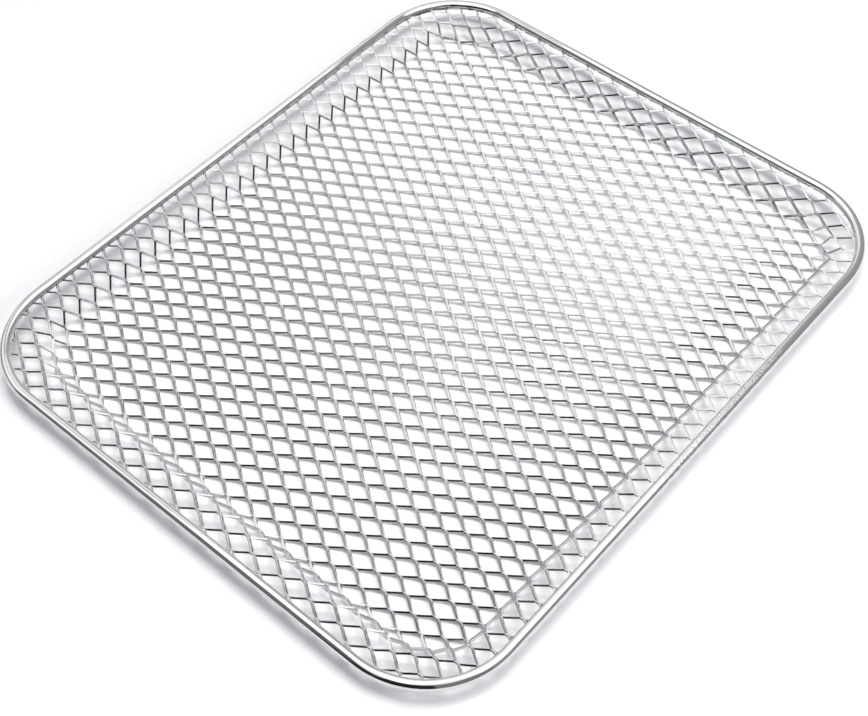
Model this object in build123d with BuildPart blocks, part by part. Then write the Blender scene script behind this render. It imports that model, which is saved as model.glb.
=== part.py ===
# Shallow grill tray for an air fryer: an expanded-metal mesh pressed into a tray, with a rolled
# bead closed round its cut edge. Millimetres, +X across the short side, +Y along the long side,
# +Z up. The origin is at the centre of the surface that the floor of the tray rests on.

import os
from math import hypot, radians, tan

from build123d import *

# Overall size, measured outside the bead
tray_width = 254.0
tray_length = 300.0
corner_radius = 40.0

# Rolled bead: a strip of sheet curled into a tube, slit along its inner side for the mesh
bead_diameter = 4.5
strip_thickness = 0.6
slit_clearance = 0.05

# Pressed mesh: flange, step and floor have the full thickness of the raised strands, and the edge
# that the bead grips is squeezed thinner
mesh_thickness = 2.4
edge_thickness = 1.2
edge_grip = 2.0
flange_drop = 0.9
flange_width = 12.9
press_depth = 6.4
wall_angle = 57.0
fold_radius = 2.0

# Diamond openings of the mesh, long way along X and short way along Y
long_way = 14.4
short_way = 8.4
strand_width = 1.35

# Each opening here stands for a block of this many diamonds each way, with its strands in scale
cells_per_opening = 3

# Unbroken mesh left beside the bead
edge_band = 1.5

# The line along the middle of the bead, which both pieces follow
bead_radius = bead_diameter / 2
bead_half_width = tray_width / 2 - bead_radius
bead_half_length = tray_length / 2 - bead_radius
bead_corner = corner_radius - bead_radius

# Heights of the middle of the sheet and of the bead
floor_height = mesh_thickness / 2
flange_height = floor_height + press_depth
bead_height = flange_height + flange_drop

# Distances inwards from the middle of the bead
mesh_edge = bead_radius - edge_grip
raised_start = bead_radius + slit_clearance
step_run = press_depth / tan(radians(wall_angle))
lower_fold = flange_width + step_run
fold_middle_radius = fold_radius + mesh_thickness / 2
fold_length = fold_middle_radius * tan(radians(wall_angle) / 2)
floor_edge = lower_fold + fold_length + mesh_thickness

# The closed line along the middle of the bead, at floor level, and the upright plane where it
# starts: sections are drawn there with X inwards and Y up
with BuildLine() as bead_line:
    FilletPolyline(
        (-bead_half_width, -bead_half_length),
        (bead_half_width, -bead_half_length),
        (bead_half_width, bead_half_length),
        (-bead_half_width, bead_half_length),
        radius=bead_corner,
        close=True,
    )
forward = bead_line.line % 0
inward = Vector(0, 0, 1).cross(forward)
section_plane = Plane(origin=bead_line.line @ 0, x_dir=inward, z_dir=forward)


# Rolled bead: a tube with a slit that takes the edge of the mesh
with BuildPart() as rim_bead:
    with BuildSketch(section_plane) as bead_section:
        with Locations((0, bead_height)):
            Circle(bead_radius)
            Circle(bead_radius - strip_thickness, mode=Mode.SUBTRACT)
        slit_start = mesh_edge - slit_clearance
        with Locations((slit_start, flange_height)):
            Rectangle(
                bead_radius - slit_start,
                edge_thickness + 2 * slit_clearance,
                align=(Align.MIN, Align.CENTER),
                mode=Mode.SUBTRACT,
            )
    sweep(path=bead_line.line)


# Diamond openings, at the pitch of a block of cells
opening_pitch_x = long_way * cells_per_opening
opening_pitch_y = short_way * cells_per_opening
web_width = strand_width * cells_per_opening
web_slope = hypot(long_way, short_way)
opening_half_x = (opening_pitch_x - web_width * web_slope / short_way) / 2
opening_half_y = (opening_pitch_y - web_width * web_slope / long_way) / 2


# The openings stop at the unbroken band beside the bead
open_half_width = bead_half_width - bead_radius - edge_band
open_half_length = bead_half_length - bead_radius - edge_band
open_corner = bead_corner - bead_radius - edge_band


def opens_inside_band(x, y):
    """Whether a good part of a diamond lies inside the edge band, its centre at most just past it."""
    past_x = max(abs(x) - (open_half_width - open_corner), 0)
    past_y = max(abs(y) - (open_half_length - open_corner), 0)
    return hypot(past_x, past_y) <= open_corner + opening_half_y / 2


def opening_centres():
    """Centres of the diamonds that open inside the edge band, a column each side of X = 0."""
    columns = int(tray_width / opening_pitch_x) + 1
    rows = int(tray_length / opening_pitch_y) + 1
    centres = []
    for column in range(-columns, columns):
        for row in range(-rows, rows + 1):
            x = (column + 0.5) * opening_pitch_x / 2
            y = (row + column % 2 / 2) * opening_pitch_y
            if opens_inside_band(x, y):
                centres.append((x, y))
    return centres


# Pressed mesh: the flange and step follow the bead, and a flat floor fills the middle
with BuildPart() as mesh_tray:
    with BuildSketch(section_plane) as mesh_section:
        with BuildLine() as mesh_middle:
            FilletPolyline(
                (raised_start, flange_height),
                (flange_width, flange_height),
                (lower_fold, floor_height),
                (floor_edge, floor_height),
                radius=fold_middle_radius,
            )
        trace(line_width=mesh_thickness)
        with Locations((mesh_edge, flange_height)):
            Rectangle(
                raised_start - mesh_edge,
                edge_thickness,
                align=(Align.MIN, Align.CENTER),
            )
    sweep(path=bead_line.line)
    with BuildSketch() as floor_outline:
        RectangleRounded(
            2 * (bead_half_width - floor_edge),
            2 * (bead_half_length - floor_edge),
            bead_corner - floor_edge,
        )
    extrude(amount=mesh_thickness)
    with BuildSketch() as openings:
        with Locations(*opening_centres()):
            Polygon(
                (opening_half_x, 0),
                (0, opening_half_y),
                (-opening_half_x, 0),
                (0, -opening_half_y),
            )
        RectangleRounded(
            2 * open_half_width,
            2 * open_half_length,
            open_corner,
            mode=Mode.INTERSECT,
        )
    extrude(amount=flange_height + mesh_thickness, mode=Mode.SUBTRACT)


# One file for each piece
os.makedirs("parts", exist_ok=True)
rim_bead.part.label = "rim_bead"
export_step(rim_bead.part, "parts/rim_bead.step")
mesh_tray.part.label = "mesh_tray"
export_step(mesh_tray.part, "parts/mesh_tray.step")
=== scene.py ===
# Looks of the grill tray: the fine expanded mesh and the rolled bead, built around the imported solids.
# Metres, with +X across the short side of the tray, +Y along its long side and +Z up

import math

import bmesh
import bpy
import numpy as np
from mathutils import Matrix, Vector


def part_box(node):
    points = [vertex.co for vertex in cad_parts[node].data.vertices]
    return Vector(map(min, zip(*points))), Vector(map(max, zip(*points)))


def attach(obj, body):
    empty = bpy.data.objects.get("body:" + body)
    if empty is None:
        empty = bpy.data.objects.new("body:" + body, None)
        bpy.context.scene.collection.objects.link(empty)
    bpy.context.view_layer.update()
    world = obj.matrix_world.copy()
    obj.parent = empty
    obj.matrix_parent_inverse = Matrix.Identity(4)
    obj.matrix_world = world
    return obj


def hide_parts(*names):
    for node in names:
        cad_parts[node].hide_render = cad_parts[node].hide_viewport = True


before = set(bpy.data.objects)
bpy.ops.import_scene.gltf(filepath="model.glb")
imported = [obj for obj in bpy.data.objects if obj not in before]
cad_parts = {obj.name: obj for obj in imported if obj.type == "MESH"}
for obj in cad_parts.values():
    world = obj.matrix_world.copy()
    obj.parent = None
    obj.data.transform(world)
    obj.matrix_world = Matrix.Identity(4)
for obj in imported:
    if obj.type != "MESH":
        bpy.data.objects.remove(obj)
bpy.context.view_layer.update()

mm = 0.001

# Vertices closer than this are one
hair = 0.004 * mm

# Faces that meet at less than this are shaded as one surface
smooth_angle = math.radians(50)

# Sizes read from the solids
bead_low, bead_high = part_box("rim_bead")
_, mesh_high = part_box("mesh_tray")
bead_radius = (bead_high.z - bead_low.z) / 2
bead_height = (bead_high.z + bead_low.z) / 2
bead_half_width = bead_high.x - bead_radius
bead_half_length = bead_high.y - bead_radius
mesh_edge_inset = bead_half_width - mesh_high.x

# Rolled bead: a curled strip with a slit for the mesh, its angles measured up from the inner side
bead_corner = 37.75 * mm
strip_thickness = 0.6 * mm
slit_from = math.radians(-62)
slit_to = math.radians(2)
bead_section_corners = 40
bead_corner_steps = 24

# Expanded mesh as it is slit and stretched, the long way of its diamonds along X. The strands lie tilted
# about X, half on edge, and are bonded edge to edge at the knuckles. Beside a knuckle a strand bends away
# over a short run, with a small share of its rise
long_way = 14.4 * mm
short_way = 8.4 * mm
strand_width = 1.2 * mm
strand_thickness = 0.8 * mm
strand_tilt = math.radians(55)
edge_round = 0.06 * mm
knuckle_half = 0.65 * mm
bend_run = 0.5 * mm
bend_share = 0.05

# Where the lattice lies on the tray, and how far it is turned
lattice_shift = (1.75 * mm, -0.23 * mm)
lattice_turn = math.radians(-0.25)

# Pressed form, measured along the middle of the sheet. The press stood a little off centre, and the
# strands keep only a share of their height where the bead grips them
press_shift = (2.0 * mm, 1.25 * mm)
press_depth = 6.4 * mm
flange_width = 12.9 * mm
wall_angle = math.radians(57)
flange_angle = math.radians(3)
fold_radius = 2.9 * mm
grip_share = 0.45
grip_reach = 4.0 * mm

# The floor bows up a little, most beside the far right corner
bow_height = 1.9 * mm
bow_middle = (45 * mm, 55 * mm)
bow_spread = (75 * mm, 85 * mm)
bow_fade = 25 * mm


def linear(hex_colour):
    """Linear RGBA of an sRGB hex colour."""
    channels = [int(hex_colour[i : i + 2], 16) / 255 for i in (1, 3, 5)]
    return [c / 12.92 if c <= 0.04045 else ((c + 0.055) / 1.055) ** 2.4 for c in channels] + [1.0]


def add_node(tree, kind, links=None, **settings):
    """Adds a node, sets its properties or input values, and links named inputs to other sockets."""
    node = tree.nodes.new(kind)
    for name, value in settings.items():
        if hasattr(node, name):
            setattr(node, name, value)
        else:
            node.inputs[name.replace("_", " ")].default_value = value
    for name, socket in (links or {}).items():
        tree.links.new(socket, node.inputs[name])
    return node


def pick(mode, wanted):
    """Selects the vertices, edges or faces of the mesh in edit mode whose middle passes the test."""
    mesh = bmesh.from_edit_mesh(bpy.context.object.data)
    bpy.ops.mesh.select_all(action="DESELECT")
    bpy.ops.mesh.select_mode(type={"verts": "VERT", "edges": "EDGE", "faces": "FACE"}[mode])
    for item in getattr(mesh, mode):
        corners = [item] if mode == "verts" else item.verts
        middle = sum((v.co for v in corners), Vector()) / len(corners)
        if wanted(middle):
            item.select_set(True)
    mesh.select_flush_mode()
    bmesh.update_edit_mesh(bpy.context.object.data)


def apply_modifier(piece, kind, **settings):
    """Adds a modifier with its settings and applies it."""
    modifier = piece.modifiers.new(kind.title(), kind)
    for name, value in settings.items():
        setattr(modifier, name, value)
    bpy.ops.object.modifier_apply(modifier=modifier.name)


def merge_and_face_outwards():
    """Merges the doubled vertices of the active piece and points its faces outwards."""
    bpy.ops.object.mode_set(mode="EDIT")
    bpy.ops.mesh.select_all(action="SELECT")
    bpy.ops.mesh.remove_doubles(threshold=hair)
    bpy.ops.mesh.normals_make_consistent(inside=False)
    bpy.ops.object.mode_set(mode="OBJECT")


def model_strand():
    """Half a zigzag of one strand, from the middle of a low knuckle to the middle of a high one."""
    along = Vector((1, 0, 0))
    across = Vector((0, math.cos(strand_tilt), -math.sin(strand_tilt)))
    through = Vector((0, math.sin(strand_tilt), math.cos(strand_tilt)))
    low_bond = Vector((-long_way / 2, -short_way / 2, 0))
    high_bond = Vector((0, 0, 0))
    low = low_bond + across * strand_width / 2
    high = high_bond - across * strand_width / 2
    start = low + along * knuckle_half
    end = high - along * knuckle_half
    rise = end - start
    bend = Vector((bend_run, rise.y * bend_share, rise.z * bend_share))
    straight = rise - 2 * bend
    yaw = math.atan2(straight.y, straight.x)

    # The section, with the two corners of its upper edge rounded off
    bpy.ops.object.select_all(action="DESELECT")
    section_turn = Matrix((across, through, along)).transposed().to_euler()
    bpy.ops.mesh.primitive_plane_add(size=1, location=low, rotation=section_turn)
    piece = bpy.context.object
    piece.scale = (strand_width, strand_thickness, 1)
    bpy.ops.object.transform_apply(location=True, rotation=True, scale=True)
    bpy.ops.object.mode_set(mode="EDIT")
    pick("verts", lambda place: (place - low).dot(across) < 0)
    bpy.ops.mesh.bevel(affect="VERTICES", offset=edge_round, segments=1)
    bpy.ops.mesh.select_all(action="SELECT")
    bpy.ops.mesh.delete(type="ONLY_FACE")
    bpy.ops.mesh.select_mode(type="EDGE")
    bpy.ops.mesh.select_all(action="SELECT")

    # Drawn out along the strand, and turned where it bends away from a knuckle
    last = low
    for place, turn in ((start, 0), (start + bend, yaw), (end - bend, 0), (end, -yaw), (high, 0)):
        bpy.ops.mesh.extrude_edges_move(TRANSFORM_OT_translate={"value": place - last})
        if turn:
            bpy.ops.transform.rotate(value=-turn, orient_axis="Z", center_override=place)
        last = place

    # Square corners again where the upper edge is bonded, and no faces inside the two bonds
    near_corner = 1.2 * edge_round
    for side in (-1, 1):
        corner = low - across * strand_width / 2 + through * side * strand_thickness / 2
        pick(
            "verts",
            lambda place: place.x < start.x + hair
            and math.hypot(place.y - corner.y, place.z - corner.z) < near_corner,
        )
        bpy.ops.transform.resize(value=(1, 0, 0), center_override=corner)
    bpy.ops.mesh.select_all(action="SELECT")
    bpy.ops.mesh.remove_doubles(threshold=hair)
    bonds = (low_bond + along * knuckle_half / 2, high_bond - along * knuckle_half / 2)
    pick("faces", lambda place: any((place - bond).length < hair for bond in bonds))
    bpy.ops.mesh.delete(type="ONLY_FACE")
    bpy.ops.object.mode_set(mode="OBJECT")
    return piece


def lay_lattice(piece):
    """Mirrors the half zigzag and repeats it over the sheet, in two sets that share their knuckles."""
    merged = dict(merge_threshold=hair)
    apply_modifier(piece, "MIRROR", use_axis=(True, False, False), use_mirror_merge=True, **merged)

    # A few diamonds more each way than the tray takes, to be trimmed off
    spare_columns = 4
    spare_rows = 5
    columns = int(2 * bead_half_width / long_way) + spare_columns
    rows = int(2 * bead_half_length / short_way) + spare_rows
    piece.location.x = lattice_shift[0] - long_way * (columns // 2)
    piece.location.y = lattice_shift[1] - short_way * (rows // 2)
    bpy.ops.object.transform_apply(location=True)
    spaced = dict(use_relative_offset=False, use_constant_offset=True)
    apply_modifier(
        piece,
        "ARRAY",
        count=columns,
        constant_offset_displace=(long_way, 0, 0),
        use_merge_vertices=True,
        **merged,
        **spaced,
    )
    apply_modifier(piece, "ARRAY", count=rows, constant_offset_displace=(0, short_way, 0), **spaced)
    bpy.ops.object.duplicate()
    bpy.context.object.location = (long_way / 2, short_way / 2, 0)
    bpy.ops.object.transform_apply(location=True)
    piece.select_set(True)
    bpy.context.view_layer.objects.active = piece
    bpy.ops.object.join()
    merge_and_face_outwards()
    piece.rotation_euler.z = lattice_turn
    bpy.ops.object.transform_apply(rotation=True)


def beyond(plan, half_width, half_length, corner):
    """How far points of the plan lie outside a rounded rectangle, and which way is outwards there."""
    past = np.abs(plan) - np.array([half_width - corner, half_length - corner])
    outside = np.maximum(past, 0)
    reach = np.hypot(outside[:, 0], outside[:, 1])
    outwards = outside / np.maximum(reach, 1e-9)[:, None] * np.sign(plan)
    return np.where(reach > 0, reach, past.max(axis=1)) - corner, outwards


def ease(share):
    """Smooth step from 0 to 1."""
    share = np.clip(share, 0, 1)
    return share * share * (3 - 2 * share)


def press_section():
    """Distances along the sheet from its lower fold, and there the place outwards, height and slope."""
    tangent = fold_radius * math.tan(wall_angle / 2)
    wall_from = fold_radius * wall_angle - tangent
    wall_to = wall_from + press_depth / math.sin(wall_angle) - 2 * tangent
    flange_from = wall_to + fold_radius * (wall_angle - flange_angle)
    reach_inwards = 30 * mm
    reach_outwards = 60 * mm
    samples = 9001
    along = np.linspace(-reach_inwards, reach_outwards, samples)
    slope = np.interp(
        along,
        [-tangent, wall_from, wall_to, flange_from],
        [0, wall_angle, wall_angle, flange_angle],
    )
    step = along[1] - along[0]
    between = (slope[1:] + slope[:-1]) / 2
    outwards = along[0] + step * np.concatenate(([0], np.cumsum(np.cos(between))))
    height = step * np.concatenate(([0], np.cumsum(np.sin(between))))
    return along, outwards, height, slope


def press(piece, bond_height):
    """Presses the flat sheet into the tray: it keeps its length across the folds, as drawn mesh does."""
    fold_inset = flange_width + press_depth / math.tan(wall_angle)
    flat = np.zeros(len(piece.data.vertices) * 3)
    piece.data.vertices.foreach_get("co", flat)
    flat = flat.reshape(-1, 3)
    distance, normal = beyond(
        flat[:, :2] - np.array(press_shift),
        bead_half_width - fold_inset,
        bead_half_length - fold_inset,
        bead_corner - fold_inset,
    )
    along, outwards, height, slope = press_section()
    drawn_in = np.interp(distance, along, outwards - along, left=0)
    rise = np.interp(distance, along, height)
    lean = np.interp(distance, along, slope)
    pressed = flat.copy()
    pressed[:, :2] += normal * drawn_in[:, None]

    # The strands are squeezed where the bead grips them, and the floor is bowed
    past_bead, _ = beyond(pressed[:, :2], bead_half_width, bead_half_length, bead_corner)
    thick = flat[:, 2] * (1 - (1 - grip_share) * ease(1 + past_bead / grip_reach))
    off_middle = (flat[:, :2] - np.array(bow_middle)) / np.array(bow_spread)
    bow = bow_height * np.exp(-(off_middle**2).sum(axis=1)) * ease(-distance / bow_fade)
    pressed[:, :2] -= normal * (np.sin(lean) * thick)[:, None]
    pressed[:, 2] = bond_height + rise + bow + np.cos(lean) * thick
    piece.data.vertices.foreach_set("co", pressed.ravel())
    piece.data.update()


def trim():
    """Cuts the active sheet off inside the bead, along its sides and round its corners."""
    cuts_per_corner = 9
    corner = bead_corner - mesh_edge_inset
    bpy.ops.object.mode_set(mode="EDIT")
    for cut in range(4 * cuts_per_corner):
        angle = math.radians(90) * cut / cuts_per_corner
        outward = Vector((math.cos(angle), math.sin(angle), 0))
        quarter = cut // cuts_per_corner
        middle_x = (bead_half_width - bead_corner) * (1 if quarter in (0, 3) else -1)
        middle_y = (bead_half_length - bead_corner) * (1 if quarter in (0, 1) else -1)
        edge = Vector((middle_x, middle_y, 0)) + outward * corner
        bpy.ops.mesh.select_all(action="SELECT")
        bpy.ops.mesh.bisect(plane_co=edge, plane_no=outward, use_fill=True, clear_outer=True)
    bpy.ops.object.mode_set(mode="OBJECT")


def make_mesh():
    """The expanded mesh, pressed into the tray."""
    piece = model_strand()
    lay_lattice(piece)
    bond_height = strand_width * math.sin(strand_tilt) + strand_thickness / 2 * math.cos(strand_tilt)
    press(piece, bond_height)
    trim()
    merge_and_face_outwards()
    bpy.ops.object.shade_smooth_by_angle(angle=smooth_angle)

    # Normals lean to the larger faces, so that the sheared edges shade almost flat. With no threshold,
    # faces as small as these are still told apart
    normal_weight = 54
    apply_modifier(piece, "WEIGHTED_NORMAL", weight=normal_weight, thresh=0, keep_sharp=True)
    piece.name = piece.data.name = "expanded_mesh"
    return piece


def mark_way_round(piece):
    """Keeps on the bead how far round its section each vertex lies, in metres up from the outer side."""
    place = np.zeros(len(piece.data.vertices) * 3)
    piece.data.vertices.foreach_get("co", place)
    place = place.reshape(-1, 3)
    outwards, _ = beyond(place[:, :2], bead_half_width, bead_half_length, bead_corner)
    round_angle = np.arctan2(place[:, 2] - bead_height, outwards)
    way_round = piece.data.attributes.new("way_round", "FLOAT", "POINT")
    way_round.data.foreach_set("value", round_angle * bead_radius)


def make_bead():
    """A quarter of the slit tube, along half of each side and round the corner, then mirrored."""
    middle = Vector((bead_half_width, 0, bead_height))
    side_half_length = bead_half_length - bead_corner
    side_half_width = bead_half_width - bead_corner
    bpy.ops.object.select_all(action="DESELECT")
    bpy.ops.mesh.primitive_circle_add(
        vertices=bead_section_corners,
        radius=bead_radius,
        location=middle,
        rotation=(math.radians(90), 0, 0),
    )
    piece = bpy.context.object
    bpy.ops.object.transform_apply(location=True, rotation=True)
    bpy.ops.object.mode_set(mode="EDIT")

    def in_slit(place):
        return slit_from < math.atan2(place.z - middle.z, middle.x - place.x) < slit_to

    pick("verts", in_slit)
    bpy.ops.mesh.delete(type="VERT")

    # The inner side of the strip
    bpy.ops.mesh.select_mode(type="EDGE")
    bpy.ops.mesh.select_all(action="SELECT")
    bpy.ops.mesh.extrude_edges_move()
    inner = 1 - strip_thickness / bead_radius
    bpy.ops.transform.resize(value=(inner, inner, inner), center_override=middle)

    # Along the long side, round the corner and along the short side
    bpy.ops.mesh.select_mode(type="FACE")
    bpy.ops.mesh.select_all(action="SELECT")
    bpy.ops.mesh.extrude_region_move(TRANSFORM_OT_translate={"value": (0, side_half_length, 0)})
    bpy.ops.mesh.spin(
        steps=bead_corner_steps,
        angle=-math.radians(90),
        center=(side_half_width, side_half_length, 0),
        axis=(0, 0, 1),
    )
    bpy.ops.mesh.extrude_region_move(TRANSFORM_OT_translate={"value": (-side_half_width, 0, 0)})
    pick("faces", lambda place: abs(place.y) < hair or abs(place.x) < hair)
    bpy.ops.mesh.delete(type="ONLY_FACE")
    bpy.ops.object.mode_set(mode="OBJECT")
    apply_modifier(
        piece, "MIRROR", use_axis=(True, True, False), use_mirror_merge=True, merge_threshold=hair
    )
    merge_and_face_outwards()
    bpy.ops.object.shade_smooth_by_angle(angle=smooth_angle)
    piece.name = piece.data.name = "rolled_bead"
    mark_way_round(piece)
    return piece


def electropolished_steel():
    """Stainless steel after electropolishing: a soft mirror, greyer in patches and faintly pitted."""
    material = bpy.data.materials.new("electropolished_steel")
    material.use_nodes = True
    tree = material.node_tree
    shader = tree.nodes["Principled BSDF"]
    shader.inputs["Metallic"].default_value = 1.0
    place = add_node(tree, "ShaderNodeTexCoord").outputs["Object"]

    # Patches that took the bath a little differently, some 18 mm across
    patches = add_node(tree, "ShaderNodeTexNoise", {"Vector": place}, Scale=1 / (18 * mm), Detail=3.0)
    tone = add_node(tree, "ShaderNodeValToRGB", {"Fac": patches.outputs["Fac"]})
    tone.color_ramp.elements[0].position = 0.3
    tone.color_ramp.elements[0].color = linear("#c6c9ca")
    tone.color_ramp.elements[1].position = 0.7
    tone.color_ramp.elements[1].color = linear("#d6d7d7")
    tree.links.new(tone.outputs["Color"], shader.inputs["Base Color"])

    # Gloss that comes and goes along each strand, over some 2.5 mm
    gloss = add_node(tree, "ShaderNodeTexNoise", {"Vector": place}, Scale=1 / (2.5 * mm), Detail=2.0)
    rough = add_node(
        tree, "ShaderNodeMapRange", {"Value": gloss.outputs["Fac"]}, To_Min=0.06, To_Max=0.2
    )
    tree.links.new(rough.outputs["Result"], shader.inputs["Roughness"])

    # Pits of some 0.3 mm, coarser than the real ones so that they show
    pits = add_node(tree, "ShaderNodeTexNoise", {"Vector": place}, Scale=1 / (0.3 * mm), Detail=1.0)
    bump = add_node(
        tree, "ShaderNodeBump", {"Height": pits.outputs["Fac"]}, Strength=0.6, Distance=0.006 * mm
    )
    tree.links.new(bump.outputs["Normal"], shader.inputs["Normal"])
    return material


def polished_steel_strip():
    """Stainless strip, rolled and polished: a bright, slightly wavy mirror with fine lines along it."""
    material = bpy.data.materials.new("polished_steel_strip")
    material.use_nodes = True
    tree = material.node_tree
    shader = tree.nodes["Principled BSDF"]
    shader.inputs["Metallic"].default_value = 1.0
    place = add_node(tree, "ShaderNodeTexCoord").outputs["Object"]

    # Lines that the rolls drew along the strip, some 0.2 mm apart
    way_round = add_node(tree, "ShaderNodeAttribute", attribute_name="way_round")
    lines = add_node(
        tree,
        "ShaderNodeTexNoise",
        {"W": way_round.outputs["Fac"]},
        noise_dimensions="1D",
        Scale=1 / (0.2 * mm),
        Detail=2.0,
    )
    tone = add_node(tree, "ShaderNodeValToRGB", {"Fac": lines.outputs["Fac"]})
    tone.color_ramp.elements[0].position = 0.25
    tone.color_ramp.elements[0].color = linear("#cfd1d2")
    tone.color_ramp.elements[1].position = 0.75
    tone.color_ramp.elements[1].color = linear("#d9dad9")
    tree.links.new(tone.outputs["Color"], shader.inputs["Base Color"])

    # A scuffed stretch on the right side, dull for some 60 mm and fading over 25 mm at each end
    scuff_middle = (bead_half_width, 18 * mm, bead_height + bead_radius)
    from_scuff = add_node(tree, "ShaderNodeVectorMath", {0: place}, operation="DISTANCE")
    from_scuff.inputs[1].default_value = scuff_middle
    scuff = add_node(
        tree,
        "ShaderNodeMapRange",
        {"Value": from_scuff.outputs["Value"]},
        interpolation_type="SMOOTHSTEP",
        From_Min=55 * mm,
        From_Max=30 * mm,
    )
    grains = add_node(tree, "ShaderNodeTexNoise", {"Vector": place}, Scale=1 / (0.9 * mm), Detail=1.0)
    scuffed = add_node(
        tree,
        "ShaderNodeMath",
        {0: scuff.outputs["Result"], 1: grains.outputs["Fac"]},
        operation="MULTIPLY",
    )
    rough = add_node(
        tree, "ShaderNodeMapRange", {"Value": scuffed.outputs["Value"]}, To_Min=0.08, To_Max=0.3
    )
    tree.links.new(rough.outputs["Result"], shader.inputs["Roughness"])

    # The strip waves a little along its length, and the grains of the scuff break its mirror
    wave = add_node(tree, "ShaderNodeTexNoise", {"Vector": place}, Scale=1 / (14 * mm), Detail=1.0)
    waved = add_node(
        tree, "ShaderNodeBump", {"Height": wave.outputs["Fac"]}, Strength=1.0, Distance=0.25 * mm
    )
    grained = add_node(
        tree,
        "ShaderNodeBump",
        {"Height": scuffed.outputs["Value"], "Normal": waved.outputs["Normal"]},
        Strength=1.0,
        Distance=0.12 * mm,
    )
    tree.links.new(grained.outputs["Normal"], shader.inputs["Normal"])
    return material


mesh_piece = make_mesh()
mesh_piece.data.materials.append(electropolished_steel())
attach(mesh_piece, "root")
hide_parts("mesh_tray")

bead_piece = make_bead()
bead_piece.data.materials.append(polished_steel_strip())
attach(bead_piece, "root")
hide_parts("rim_bead")


def seen_rays(tree):
    """A socket that is 1 for what the camera, the metal or glass sees, and 0 for other light."""
    path = add_node(tree, "ShaderNodeLightPath")
    metal_too = add_node(
        tree,
        "ShaderNodeMath",
        {0: path.outputs["Is Camera Ray"], 1: path.outputs["Is Glossy Ray"]},
        operation="ADD",
    )
    glass_too = add_node(
        tree,
        "ShaderNodeMath",
        {0: metal_too.outputs["Value"], 1: path.outputs["Is Transmission Ray"]},
        operation="ADD",
        use_clamp=True,
    )
    return glass_too.outputs["Value"]


def white_paper():
    """White paper that glows faintly to the eye and the metal, so that it keeps the shadow."""
    paper_lift = 0.06
    material = bpy.data.materials.new("white_paper_sweep")
    material.use_nodes = True
    tree = material.node_tree
    tree.nodes.clear()
    lift = add_node(tree, "ShaderNodeMath", {0: seen_rays(tree)}, operation="MULTIPLY")
    lift.inputs[1].default_value = paper_lift
    paper = add_node(tree, "ShaderNodeBsdfDiffuse", Color=linear("#fcfcfc"))
    glow = add_node(tree, "ShaderNodeEmission", {"Strength": lift.outputs["Value"]})
    both = add_node(tree, "ShaderNodeAddShader", {0: paper.outputs[0], 1: glow.outputs[0]})
    add_node(tree, "ShaderNodeOutputMaterial", {"Surface": both.outputs[0]})
    return material


floor_side = 8
bpy.ops.mesh.primitive_plane_add(size=floor_side)
floor = bpy.context.object
floor.name = "floor"
floor.data.materials.append(white_paper())


def glowing_card(name, placed, brightness):
    """A flat card of the studio that shows only in the metal, as its own even glow."""
    bpy.ops.mesh.primitive_plane_add(size=1)
    card = bpy.context.object
    card.name = name
    card.matrix_world = placed
    material = bpy.data.materials.new(name)
    material.use_nodes = True
    tree = material.node_tree
    tree.nodes.clear()
    glow = add_node(tree, "ShaderNodeEmission", Strength=brightness)
    add_node(tree, "ShaderNodeOutputMaterial", {"Surface": glow.outputs[0]})
    card.data.materials.append(material)
    card.visible_camera = card.visible_diffuse = card.visible_shadow = card.visible_transmission = False


def standing_card(name, azimuth, brightness, away=1.3, width=1.08, foot=0, top=63):
    """A card on edge, facing the tray. Foot and top are its elevations as seen from the tray."""
    direction = Vector((math.cos(math.radians(azimuth)), math.sin(math.radians(azimuth)), 0))
    low = away * math.tan(math.radians(foot))
    high = away * math.tan(math.radians(top))
    middle = direction * away + Vector((0, 0, (low + high) / 2))
    turned = (-direction).to_track_quat("Z", "Y").to_matrix().to_4x4()
    sized = Matrix.Diagonal((width, high - low, 1, 1))
    glowing_card(name, Matrix.Translation(middle) @ turned @ sized, brightness)


def lying_card(name, place, width, length, brightness):
    """A card that lies level over the tray."""
    sized = Matrix.Diagonal((width, length, 1, 1))
    glowing_card(name, Matrix.Translation(place) @ sized, brightness)


# The room as the metal shows it: a ring of eight cards, given by azimuth and brightness, with dark cards
# inside it on the near side under a pale strip, two windows on the left, and two panels overhead
room = {
    "card_near": (-67, 0.8),
    "card_near_left": (-112, 0.2),
    "card_left": (-157, 0.45),
    "card_far_left": (158, 0.74),
    "card_far": (113, 0.52),
    "card_far_right": (68, 0.42),
    "card_right": (23, 0.37),
    "card_near_right": (-22, 0.25),
}
for card_name, (card_azimuth, card_brightness) in room.items():
    standing_card(card_name, card_azimuth, card_brightness)
standing_card("card_dark", -66, 0.02, away=1.1, width=0.89)
standing_card("card_dark_left", -97, 0.03, away=1.1, width=0.35, top=50)
standing_card("card_pale_top", -99, 0.8, away=1.12, width=0.45, foot=50)
standing_card("window_left", -165, 1.4, away=1.2, width=1.12, foot=29, top=62)
standing_card("window_far_left", 143, 1.2, away=0.62, width=0.52, foot=25, top=49)
lying_card("panel_left", (-0.065, 0.025, 0.52), 0.47, 0.71, 1.6)
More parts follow.
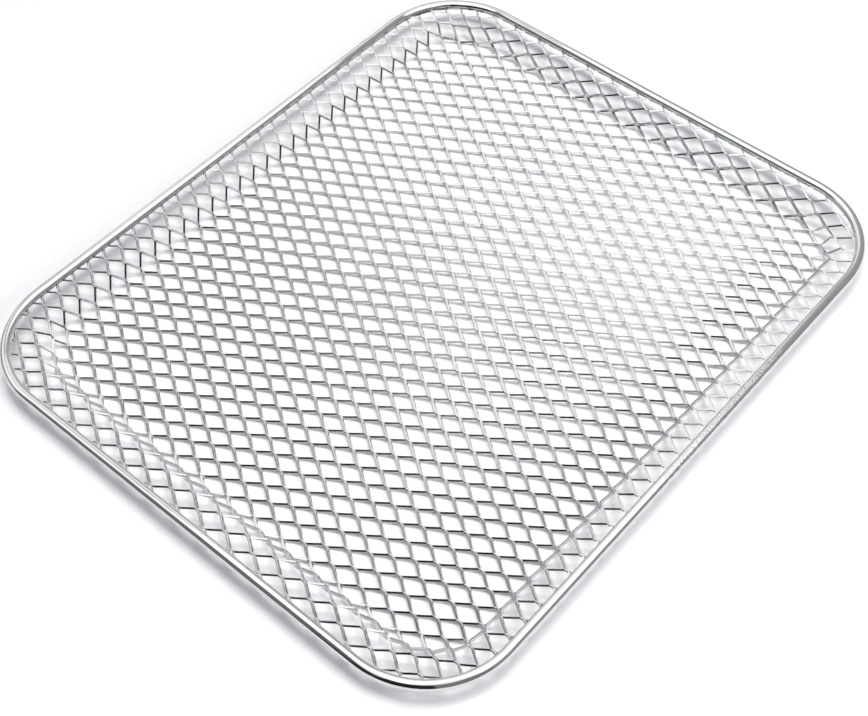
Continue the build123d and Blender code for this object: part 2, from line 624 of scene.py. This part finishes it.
lying_card("panel_right", (0.335, 0.14, 0.52), 0.33, 0.48, 1.6)

# World: white to the eye and the metal, and a weak fill for all else
world = bpy.data.worlds.new("white_studio")
bpy.context.scene.world = world
world.use_nodes = True
tree = world.node_tree
tree.nodes.clear()
fill = add_node(tree, "ShaderNodeBackground", Color=linear("#f1ecff"), Strength=0.2)
backdrop = add_node(tree, "ShaderNodeBackground", Color=(1, 1, 1, 1), Strength=1.0)
mix = add_node(
    tree,
    "ShaderNodeMixShader",
    {0: seen_rays(tree), 1: fill.outputs[0], 2: backdrop.outputs[0]},
)
add_node(tree, "ShaderNodeOutputWorld", {"Surface": mix.outputs[0]})


def softbox(name, place, width, length, energy):
    """An area lamp aimed at the tray. The metal doesn't show it, and shows the cards instead."""
    lamp = bpy.data.lights.new(name, "AREA")
    lamp.shape = "RECTANGLE"
    lamp.size = width
    lamp.size_y = length
    lamp.energy = energy
    lamp_object = bpy.data.objects.new(name, lamp)
    bpy.context.scene.collection.objects.link(lamp_object)
    lamp_object.location = place
    lamp_object.rotation_euler = (-Vector(place)).to_track_quat("-Z", "Y").to_euler()
    lamp_object.visible_glossy = False


softbox("softbox_key", (-0.07, 0.17, 1.6), 1.0, 0.85, 19.7)
softbox("softbox_right", (0.9, 0.15, 0.6), 0.6, 0.6, 5.5)

# Camera: its lens in millimetres, the directions to its right and up, and its place
camera_data = bpy.data.cameras.new("camera")
camera_data.sensor_fit = "HORIZONTAL"
camera_data.sensor_width = 36
camera_data.lens = 62.84
camera_data.clip_start = 0.01
camera = bpy.data.objects.new("camera", camera_data)
bpy.context.scene.collection.objects.link(camera)
camera_right = Vector((0.75721, 0.65305, -0.01270))
camera_up = Vector((-0.51182, 0.60531, 0.60962))
camera_turn = Matrix((camera_right, camera_up, camera_right.cross(camera_up))).transposed()
camera_above_bead = 0.4764
camera_place = Vector((0.26565, -0.30405, camera_above_bead + bead_height))
camera.matrix_world = Matrix.Translation(camera_place) @ camera_turn.to_4x4()
bpy.context.scene.camera = camera

bpy.context.scene.view_settings.view_transform = "Standard"
